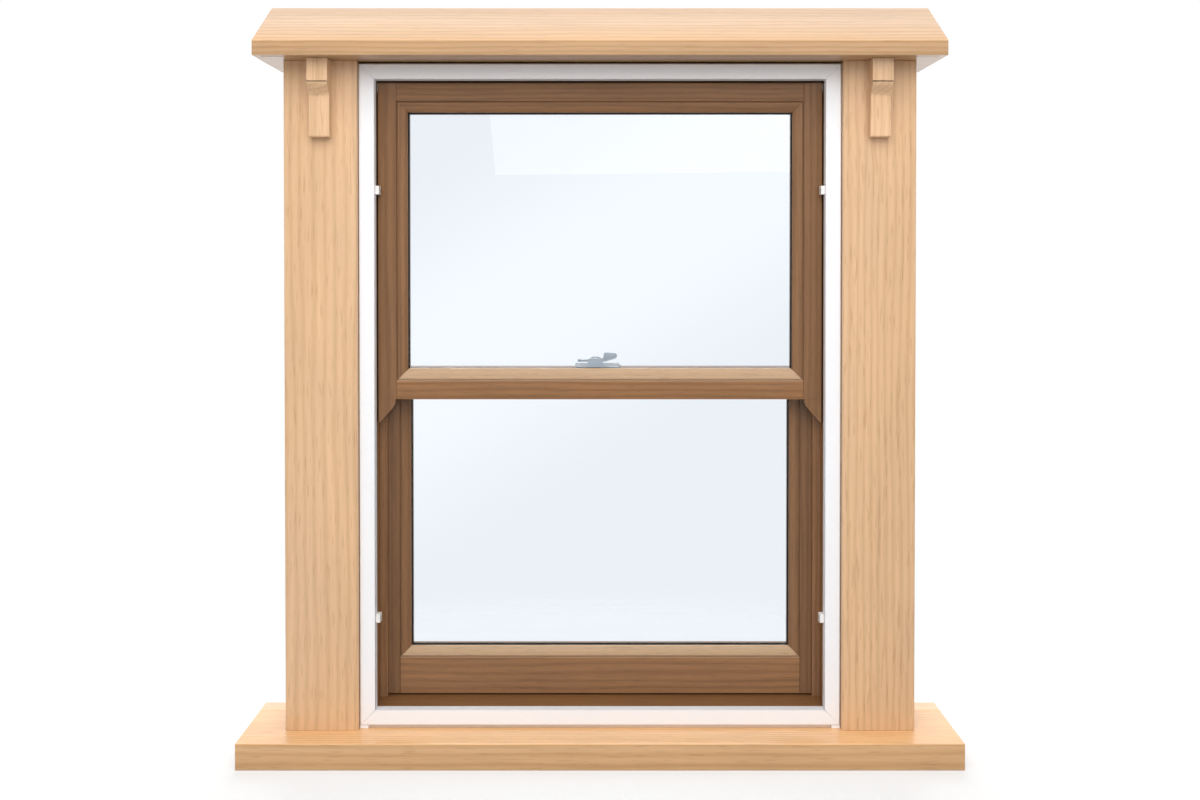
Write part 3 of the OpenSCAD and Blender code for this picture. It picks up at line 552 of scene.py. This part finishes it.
def piece(
    node, arris_mm=0.0, grain=None, tone_and_shade=1.0, bloom_and_highlight=0.0, painted_slope_highlight=None, painted_top_light=1.0, steps=2
):
    """The finished piece for a CAD node, with its corners rounded by arris_mm. It moves with the
    node's body, stands for the node, and takes the node's finish. tone_and_shade scales the wood's
    colour: each board's own depth of colour, with painted shade on pieces in recesses and painted
    light on rails lit from above. Wood takes bloom_and_highlight_colour as far as
    bloom_and_highlight says, a paler dry surface together with a painted highlight, and on faces
    sloping up as far as painted_slope_highlight says, a painted highlight. painted_top_light
    brightens its faces that look up, as painted light."""
    source = frame["nodes"][node]
    mesh = source.data.copy()
    mesh.name = node + "_finished"
    mesh.materials.clear()
    width = arris_mm * MM
    if "custom_normal" in mesh.attributes:
        mesh.attributes.remove(mesh.attributes["custom_normal"])
    ease_edges(mesh, width)
    made = bpy.data.objects.new(node + "_finished", mesh)
    bpy.context.scene.collection.objects.link(made)
    mesh.polygons.foreach_set("use_smooth", [True] * len(mesh.polygons))
    mesh.set_sharp_from_angle(angle=SHARP_ANGLE)
    board = BOARDS.index(node) * GOLDEN % 1.0
    upward = bloom_and_highlight if painted_slope_highlight is None else painted_slope_highlight
    # painted_top_light raises tone_and_shade on faces that look up, as painted light, and faces
    # sloping up take painted_slope_highlight as a painted highlight
    rises = [face.normal.z for face in mesh.polygons]
    for label, values in (
        ("board", [board for rise in rises]),
        ("tone_and_shade", [tone_and_shade * painted_top_light if rise > SLOPING else tone_and_shade for rise in rises]),
        ("bloom_and_highlight", [upward if SLOPING < rise < LEVEL_TOP else bloom_and_highlight for rise in rises]),
    ):
        field = mesh.attributes.new(label, "FLOAT", "FACE")
        field.data.foreach_set("value", values)
    mesh.materials.append(finish(SLOTS[node], grain))
    if width > 0:
        rounding = made.modifiers.new("Rounded corners", "BEVEL")
        rounding.limit_method = "WEIGHT"
        rounding.width = width
        rounding.segments = steps
        rounding.use_clamp_overlap = False
        rounding.harden_normals = True
        rounding.miter_outer = "MITER_ARC"
    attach(made, source["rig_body"])
    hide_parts(node)
    return made


# ---------------------------------------------------------------- what a user may change


def colour(name, description, code):
    return FloatVectorProperty(
        name=name,
        description=description,
        subtype="COLOR",
        size=3,
        min=0.0,
        max=1.0,
        default=linear(code),
    )


def number(name, description, default, low, high):
    return FloatProperty(
        name=name, description=description, default=default, min=low, max=high
    )


class LightOakLook(bpy.types.PropertyGroup):
    """The sill, posts, hood and brackets"""

    early: colour("Early wood", "Pale wood between the rings", "#DBAE7E")
    late: colour("Late wood", "Darker wood in each ring", "#C4945F")
    pore: colour("Pores", "Open pores in the grain", "#9A6A3C")
    # Also the colour of painted light on the brackets, lightening them in the hood's shade
    bloom_and_highlight_colour: colour("Bloom", "Dry, paler surface of some boards", "#FFF0DC")
    ring_mm: number("Ring spacing", "Growth ring spacing in mm", 9.0, 2.0, 20.0)
    wander_mm: number("Wander", "Size of the log's slow wander in mm", 60.0, 20.0, 400.0)
    bend_mm: number("Bend", "How far the rings wander in mm", 14.0, 0.0, 100.0)
    fibre_mm: number("Fibre width", "Width of a drawn fibre streak in mm", 5.0, 0.3, 12.0)
    pore_mm: number("Pore width", "Width of a drawn pore in mm", 2.6, 0.3, 6.0)
    ring_depth: number("Ring strength", "How strongly the rings show", 0.55, 0.0, 1.0)
    streak_depth: number("Streak strength", "How strongly the fibres show", 0.05, 0.0, 0.5)
    pore_depth: number("Pore strength", "How strongly the pores show", 0.28, 0.0, 1.0)
    roughness: number("Roughness", "Roughness of the oiled surface", 0.36, 0.0, 1.0)
    coat: number("Coat", "How much of the oil lies as a film", 0.35, 0.0, 1.0)
    relief: number("Relief", "Depth of the grain", 0.25, 0.0, 1.0)


class BrownOakLook(bpy.types.PropertyGroup):
    """The box frame, the sashes and their beads"""

    early: colour("Early wood", "Stained wood between the rings", "#875F3B")
    late: colour("Late wood", "Darker stained wood in each ring", "#6B4626")
    pore: colour("Pores", "Stain gathered in the pores", "#3F2614")
    # Also the colour of the painted highlight on the rails' and bottom beads' faces that look up
    bloom_and_highlight_colour: colour("Bloom", "Paler wood where a board takes less stain", "#E8C8A4")
    ring_mm: number("Ring spacing", "Growth ring spacing in mm", 7.0, 2.0, 20.0)
    wander_mm: number("Wander", "Size of the log's slow wander in mm", 50.0, 20.0, 400.0)
    bend_mm: number("Bend", "How far the rings wander in mm", 12.0, 0.0, 100.0)
    fibre_mm: number("Fibre width", "Width of a drawn fibre streak in mm", 2.6, 0.3, 12.0)
    pore_mm: number("Pore width", "Width of a drawn pore in mm", 1.5, 0.3, 6.0)
    ring_depth: number("Ring strength", "How strongly the rings show", 0.5, 0.0, 1.0)
    streak_depth: number("Streak strength", "How strongly the fibres show", 0.12, 0.0, 0.5)
    pore_depth: number("Pore strength", "How strongly the pores show", 0.20, 0.0, 1.0)
    roughness: number("Roughness", "Roughness of the satin lacquer", 0.45, 0.0, 1.0)
    coat: number("Coat", "How much of the lacquer lies as a film", 0.1, 0.0, 1.0)
    relief: number("Relief", "Depth of the grain", 0.2, 0.0, 1.0)


class GlassLook(bpy.types.PropertyGroup):
    """The two panes and their gaskets"""

    tint: colour("Glass", "Cast of the glass seen through one pane", "#EDF3F9")
    gasket: colour("Gasket", "Rubber round the panes", "#161514")


class MetalLook(bpy.types.PropertyGroup):
    """Trim, clips, balances, screws and the fastener"""

    powder_coat: colour("Powder coat", "Trim round the opening", "#F1F2F5")
    nylon: colour("Nylon", "Clips and bushes", "#EDEAE6")
    zinc: colour("Zinc", "Fastener and keep", "#A9AEB2")
    cast: colour("Cast aluminium", "Corner cleats", "#A7A8AA")
    tube: colour("Tube", "Balance tubes", "#CBCDCF")
    spring: colour("Spring steel", "Balance strips and springs", "#9FA1A4")
    screw: colour("Zinc plate", "Screws and rivet", "#C2C3C4")


class EdgeSizes(bpy.types.PropertyGroup):
    """How far each kind of corner is rounded"""

    oak_arris: number("Oak corners", "Rounding of the oak corners in mm", 1.2, 0.0, 3.0)
    sash_arris: number("Sash corners", "Rounding of the sash corners in mm", 0.8, 0.0, 1.5)
    trim_arris: number("Trim corners", "Rounding of the trim corners in mm", 1.0, 0.0, 2.0)
    cast_arris: number("Cast corners", "Rounding of the fastener's corners in mm", 0.5, 0.0, 1.0)
    corner_steps: IntProperty(
        name="Steps", description="Faces across a rounded corner", default=3, min=1, max=6
    )


class StudioLook(bpy.types.PropertyGroup):
    """Floor, light and camera"""

    paper: colour("Floor", "Studio paper", "#B8B8B8")
    ambient: number("Surround", "Light from all round", 0.52, 0.0, 3.0)
    room: number("Room", "Brightness of the dim room behind the camera", 0.5, 0.0, 2.0)
    horizon: number("Back wall", "Brightness of the wall behind the window", 1.3, 0.0, 3.0)
    band: number("Band", "Brightness of the soft band in that room", 2.4, 0.0, 4.0)
    band_half: number("Band width", "Half width of the band, as a slope", 0.12, 0.02, 1.0)
    band_place: number("Band place", "Where the band lies, as a slope", 0.005, -1.0, 1.0)
    paper_near: number("Paper fades from", "Metres from the middle", 0.75, 0.1, 3.9)
    paper_far: number("Paper fades to", "Metres from the middle", 1.5, 0.2, 4.0)
    floor_glow: number("Floor glow", "How much the floor glows of itself", 0.45, 0.0, 1.0)
    overhead: FloatProperty(
        name="Overhead light",
        description="Power of the soft light above the front",
        default=95.0,
        min=0.0,
        unit="POWER",
    )
    front: FloatProperty(
        name="Front light",
        description="Power of the soft light in front",
        default=38.0,
        min=0.0,
        unit="POWER",
    )
    rear: FloatProperty(
        name="Rear light",
        description="Power of the soft light behind",
        default=125.0,
        min=0.0,
        unit="POWER",
    )
    distance: FloatProperty(
        name="Camera distance",
        description="From the wall line to the camera",
        default=2.8875,
        min=1.0,
        unit="LENGTH",
    )
    eye: FloatProperty(
        name="Camera height",
        description="Height of the camera above the floor",
        default=0.8736,
        unit="LENGTH",
    )
    tilt: FloatProperty(
        name="Camera tilt",
        description="How far the camera looks down",
        default=math.radians(1.037),
        subtype="ANGLE",
    )
    lens: FloatProperty(
        name="Lens",
        description="Focal length in mm on a 36 mm sensor",
        default=48.982,
        min=10.0,
    )
    rise: number("Lens shift", "Vertical shift of the lens", -0.095, -0.5, 0.5)


class SashWindow(bpy.types.PropertyGroup):
    """Everything the window's finishes are made from"""

    light_oak: PointerProperty(type=LightOakLook)
    brown_oak: PointerProperty(type=BrownOakLook)
    glass: PointerProperty(type=GlassLook)
    metal: PointerProperty(type=MetalLook)
    edges: PointerProperty(type=EdgeSizes)
    studio: PointerProperty(type=StudioLook)


# ---------------------------------------------------------------- operators

# Half the side of the paper, and the point that the lamps face, in metres
PAPER_HALF = 4.0
LAMPS_AIM = (0.0, 0.0, 0.65)
# Across the slanting band that the panes mirror
BAND_TILT = (0.516, 0.0, -0.857)
# Where the dim side of the studio ends and its bright side begins, from -1 in front to 1 behind
DIM_SIDE, BRIGHT_SIDE = -0.6, 0.1


class SASHWINDOW_OT_surround(bpy.types.Operator):
    """Finish the oak sill, its back strip, the two posts and the hood"""

    bl_idname = "sash_window.surround"
    bl_label = "Oak surround"

    def execute(self, context):
        arris = context.scene.sash_window.edges.oak_arris
        # tone_and_shade darkens the sill and hood as painted shade, and painted_top_light
        # brightens their faces that look up as painted light
        for node, grain, tone_and_shade, bloom_and_highlight, painted_top_light in (
            ("sill_board", LEVEL, 0.90, 0.0, 1.42),
            ("sill_back_strip", LEVEL, 1.04, 0.0, 1.3),
            ("post_left", UPRIGHT, 0.95, 0.11, 1.0),
            ("post_right", UPRIGHT, 0.93, 0.10, 1.0),
            ("hood_board", LEVEL, 0.70, 0.0, 1.47),
        ):
            piece(node, arris, grain, tone_and_shade, bloom_and_highlight, painted_top_light=painted_top_light)
        return {"FINISHED"}


class SASHWINDOW_OT_brackets(bpy.types.Operator):
    """Finish the two curved brackets under the hood"""

    bl_idname = "sash_window.brackets"
    bl_label = "Brackets"

    def execute(self, context):
        arris = context.scene.sash_window.edges.oak_arris
        # bloom_and_highlight of 0.14 is painted light, lightening the brackets in the hood's shade
        for node, tone_and_shade in (("bracket_left", 1.0), ("bracket_right", 0.98)):
            piece(node, arris, UPRIGHT, tone_and_shade, bloom_and_highlight=0.14)
        return {"FINISHED"}


class SASHWINDOW_OT_trim(bpy.types.Operator):
    """Finish the white trim, its packer, corner cleats and retaining clips"""

    bl_idname = "sash_window.trim"
    bl_label = "White trim"

    def execute(self, context):
        arris = context.scene.sash_window.edges.trim_arris
        for node in ("trim_head", "trim_sill", "trim_left", "trim_right"):
            piece(node, arris)
        piece("trim_packer", arris / 2)
        piece("trim_corner_cleats")
        piece("retainer_clips", arris / 2)
        return {"FINISHED"}


class SASHWINDOW_OT_box_frame(bpy.types.Operator):
    """Finish the box frame's head, jambs and sill with their parting and staff beads"""

    bl_idname = "sash_window.box_frame"
    bl_label = "Box frame"

    def execute(self, context):
        arris = context.scene.sash_window.edges.sash_arris
        for node, grain in (
            ("frame_head", LEVEL),
            ("frame_jamb_left", UPRIGHT),
            ("frame_jamb_right", UPRIGHT),
            ("frame_sill", LEVEL),
            ("parting_bead_head", LEVEL),
            ("parting_bead_left", UPRIGHT),
            ("parting_bead_right", UPRIGHT),
            ("staff_bead_head", LEVEL),
            ("staff_bead_left", UPRIGHT),
            ("staff_bead_right", UPRIGHT),
            ("staff_bead_sill", LEVEL),
        ):
            piece(node, arris, grain)
        piece("frame_screws")
        return {"FINISHED"}


class SASHWINDOW_OT_sashes(bpy.types.Operator):
    """Finish the rails and stiles of both sashes"""

    bl_idname = "sash_window.sashes"
    bl_label = "Sash timber"

    def execute(self, context):
        arris = context.scene.sash_window.edges.sash_arris
        # tone_and_shade darkens the stiles and top rail as painted shade, most on the lower sash
        # in its deeper recess, and lightens the meeting and bottom rails as painted light;
        # painted_slope_highlight is a painted highlight on their faces sloping up
        for node, grain, tone_and_shade, painted_slope_highlight in (
            ("upper_top_rail", LEVEL, 0.9, 0.1),
            ("upper_meeting_rail", LEVEL, 1.14, 0.6),
            ("upper_stile_left", UPRIGHT, 0.88, 0.0),
            ("upper_stile_right", UPRIGHT, 0.86, 0.0),
            ("lower_meeting_rail", LEVEL, 1.14, 0.6),
            ("lower_bottom_rail", LEVEL, 1.06, 0.5),
            ("lower_stile_left", UPRIGHT, 0.74, 0.0),
            ("lower_stile_right", UPRIGHT, 0.76, 0.0),
        ):
            piece(node, arris, grain, tone_and_shade, painted_slope_highlight=painted_slope_highlight)
        return {"FINISHED"}


class SASHWINDOW_OT_glazing(bpy.types.Operator):
    """Finish the panes, their gaskets and the glazing beads"""

    bl_idname = "sash_window.glazing"
    bl_label = "Glazing"

    def execute(self, context):
        arris = context.scene.sash_window.edges.sash_arris / 2
        # The lower sash's beads are darker by tone_and_shade as painted shade of its deeper
        # recess, and bloom_and_highlight on the bottom beads is a painted highlight
        for sash, tone_and_shade in (("upper", 0.95), ("lower", 0.86)):
            piece(f"{sash}_glass")
            piece(f"{sash}_gasket")
            for side, grain, bloom_and_highlight in (
                ("top", LEVEL, 0.0),
                ("bottom", LEVEL, 0.5),
                ("left", UPRIGHT, 0.01),
                ("right", UPRIGHT, 0.02),
            ):
                piece(f"{sash}_bead_{side}", arris, grain, tone_and_shade, bloom_and_highlight)
        return {"FINISHED"}


class SASHWINDOW_OT_balances(bpy.types.Operator):
    """Finish the spiral balances: tubes, springs, twisted strips and bushes"""

    bl_idname = "sash_window.balances"
    bl_label = "Balances"

    def execute(self, context):
        for node in (
            "balance_tubes",
            "balance_springs",
            "upper_balance_rods",
            "lower_balance_rods",
            "upper_bush_left",
            "upper_bush_right",
            "lower_bush_left",
            "lower_bush_right",
        ):
            piece(node)
        return {"FINISHED"}


class SASHWINDOW_OT_fastener(bpy.types.Operator):
    """Finish the lever fastener and its keep on the meeting rails"""

    bl_idname = "sash_window.fastener"
    bl_label = "Fastener"

    def execute(self, context):
        edges = context.scene.sash_window.edges
        for node in ("keep", "fastener_base", "fastener_lever"):
            piece(node, edges.cast_arris, steps=edges.corner_steps)
        for node in ("keep_screws", "fastener_pivot", "fastener_screws"):
            piece(node, edges.cast_arris / 3)
        return {"FINISHED"}


class SASHWINDOW_OT_stage(bpy.types.Operator):
    """Lay the pale floor and set up the soft light and the camera"""

    bl_idname = "sash_window.stage"
    bl_label = "Studio"

    def execute(self, context):
        studio = context.scene.sash_window.studio
        scene = context.scene
        self.floor(scene, studio)
        self.surround(scene, studio)
        self.lamps(scene, studio)
        self.camera(scene, studio)
        scene.view_settings.view_transform = "Standard"
        return {"FINISHED"}

    def floor(self, scene, studio):
        """A sheet of matt paper under the sill, which fades into the white surround."""
        mesh = bpy.data.meshes.new("studio_floor")
        corners = [(-1, -1), (1, -1), (1, 1), (-1, 1)]
        mesh.from_pydata(
            [(x * PAPER_HALF, y * PAPER_HALF, 0.0) for x, y in corners],
            [],
            [(0, 1, 2, 3)],
        )
        floor = bpy.data.objects.new("studio_floor", mesh)
        scene.collection.objects.link(floor)
        paper = grained(
            "Matt studio paper",
            studio.paper,
            0.9,
            grain_mm=4.0,
            relief=0.05,
            ior=1.45,
            tint=0.004,
        )
        # Lit from below as well as above, as a light table is, and burnt out to white away
        # from the sill
        tree = paper.node_tree
        rays = add(tree, "LightPath")
        seen = add(
            tree,
            "Math",
            {0: rays.outputs["Is Camera Ray"], 1: rays.outputs["Is Transmission Ray"]},
            operation="MAXIMUM",
        ).outputs[0]
        glow = add(
            tree, "Math", {0: seen, 1: studio.floor_glow}, operation="MULTIPLY"
        ).outputs[0]
        shader = next(n for n in tree.nodes if n.type == "BSDF_PRINCIPLED")
        shader.inputs["Emission Color"].default_value = (1.0, 1.0, 1.0, 1.0)
        tree.links.new(glow, shader.inputs["Emission Strength"])
        place = add(tree, "TexCoord").outputs["Object"]
        away = add(tree, "VectorMath", {0: place}, operation="LENGTH").outputs["Value"]
        fade = add(
            tree,
            "MapRange",
            {0: away, 1: studio.paper_near, 2: studio.paper_far, 3: 0.0, 4: 1.0},
            interpolation_type="SMOOTHERSTEP",
        ).outputs[0]
        hidden = add(tree, "Math", {0: fade, 1: seen}, operation="MULTIPLY").outputs[0]
        clear = add(tree, "BsdfTransparent").outputs[0]
        mixed = add(
            tree, "MixShader", {0: hidden, 1: shader.outputs[0], 2: clear}
        ).outputs[0]
        output = next(n for n in tree.nodes if n.type == "OUTPUT_MATERIAL")
        tree.links.new(mixed, output.inputs["Surface"])
        mesh.materials.append(paper)
        floor.visible_glossy = False

    def surround(self, scene, studio):
        """White walls all round: bright where they are seen, softer as a light. Behind the
        camera they are dimmer, with one soft slanting band, which the panes mirror."""
        world = bpy.data.worlds.new("White studio")
        world.use_nodes = True
        tree = world.node_tree
        tree.nodes.clear()
        rays = add(tree, "LightPath")
        way = add(tree, "TexCoord").outputs["Generated"]
        slant = add(
            tree, "VectorMath", {0: way, 1: BAND_TILT}, operation="DOT_PRODUCT"
        ).outputs["Value"]
        offset = add(
            tree, "Math", {0: slant, 1: studio.band_place}, operation="SUBTRACT"
        ).outputs[0]
        apart = add(tree, "Math", {0: offset}, operation="ABSOLUTE").outputs[0]
        band = add(
            tree,
            "MapRange",
            {0: apart, 1: studio.band_half, 2: 0.01, 3: studio.room, 4: studio.band},
            interpolation_type="SMOOTHERSTEP",
        ).outputs[0]
        front = add(tree, "SeparateXYZ", {0: way}).outputs["Y"]
        mirrored = add(
            tree,
            "MapRange",
            {0: front, 1: DIM_SIDE, 2: BRIGHT_SIDE, 3: band, 4: studio.horizon},
            interpolation_type="SMOOTHSTEP",
        ).outputs[0]
        seen = add(
            tree,
            "Math",
            {0: rays.outputs["Is Camera Ray"], 1: rays.outputs["Is Transmission Ray"]},
            operation="MAXIMUM",
        ).outputs[0]
        lit = add(
            tree,
            "Mix",
            {0: rays.outputs["Is Glossy Ray"], 2: studio.ambient, 3: mirrored},
            data_type="FLOAT",
        ).outputs[0]
        strength = add(
            tree, "Mix", {0: seen, 2: lit, 3: 1.0}, data_type="FLOAT"
        ).outputs[0]
        sky = add(
            tree, "Background", {"Color": (1.0, 1.0, 1.0, 1.0), "Strength": strength}
        )
        add(tree, "OutputWorld", {"Surface": sky.outputs[0]})
        scene.world = world

    def lamps(self, scene, studio):
        """Three wide soft boxes: above the front, in front and behind."""
        target = Vector(LAMPS_AIM)
        for name, power, place, width, depth in (
            ("overhead_softbox", studio.overhead, (-0.35, -2.9, 3.0), 3.4, 3.0),
            ("front_softbox", studio.front, (0.9, -4.2, 2.2), 3.0, 2.0),
            ("rear_softbox", studio.rear, (0.0, 3.2, 2.4), 3.0, 2.0),
        ):
            light = bpy.data.lights.new(name, "AREA")
            light.shape = "RECTANGLE"
            light.size, light.size_y = width, depth
            light.energy = power
            lamp = bpy.data.objects.new(name, light)
            scene.collection.objects.link(lamp)
            lamp.visible_glossy = False
            lamp.location = place
            lamp.rotation_euler = (
                (target - lamp.location).to_track_quat("-Z", "Y").to_euler()
            )

    def camera(self, scene, studio):
        """A nearly level view from in front, a little above the window's middle."""
        lens = bpy.data.cameras.new("Camera")
        lens.sensor_width = 36.0
        lens.lens = studio.lens
        lens.shift_y = studio.rise
        lens.dof.use_dof = False
        camera = bpy.data.objects.new("Camera", lens)
        scene.collection.objects.link(camera)
        camera.location = (0.0, -studio.distance, studio.eye)
        camera.rotation_euler = (math.radians(90) - studio.tilt, 0.0, 0.0)
        scene.camera = camera


class SASHWINDOW_PT_panel(bpy.types.Panel):
    """Buttons for the window's pieces"""

    bl_label = "Sash window"
    bl_idname = "SASHWINDOW_PT_panel"
    bl_space_type = "VIEW_3D"
    bl_region_type = "UI"
    bl_category = "Sash window"

    def draw(self, context):
        looks = context.scene.sash_window
        for group in (
            looks.light_oak,
            looks.brown_oak,
            looks.glass,
            looks.metal,
            looks.edges,
            looks.studio,
        ):
            box = self.layout.box()
            for prop in group.bl_rna.properties:
                if prop.identifier not in ("rna_type", "name"):
                    box.prop(group, prop.identifier)
        for operator in OPERATORS:
            self.layout.operator(operator.bl_idname)


LOOKS = (
    LightOakLook,
    BrownOakLook,
    GlassLook,
    MetalLook,
    EdgeSizes,
    StudioLook,
    SashWindow,
)
OPERATORS = (
    SASHWINDOW_OT_surround,
    SASHWINDOW_OT_brackets,
    SASHWINDOW_OT_trim,
    SASHWINDOW_OT_box_frame,
    SASHWINDOW_OT_sashes,
    SASHWINDOW_OT_glazing,
    SASHWINDOW_OT_balances,
    SASHWINDOW_OT_fastener,
    SASHWINDOW_OT_stage,
)


def register():
    for cls in (*LOOKS, *OPERATORS, SASHWINDOW_PT_panel):
        bpy.utils.register_class(cls)
    bpy.types.Scene.sash_window = PointerProperty(type=SashWindow)


def unregister():
    del bpy.types.Scene.sash_window
    for cls in reversed((*LOOKS, *OPERATORS, SASHWINDOW_PT_panel)):
        bpy.utils.unregister_class(cls)


def main():
    """Registers the classes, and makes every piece."""
    register()
    bpy.ops.sash_window.surround()
    bpy.ops.sash_window.brackets()
    bpy.ops.sash_window.trim()
    bpy.ops.sash_window.box_frame()
    bpy.ops.sash_window.sashes()
    bpy.ops.sash_window.glazing()
    bpy.ops.sash_window.balances()
    bpy.ops.sash_window.fastener()
    bpy.ops.sash_window.stage()
    bpy.context.view_layer.update()


if __name__ == "__main__":
    main()
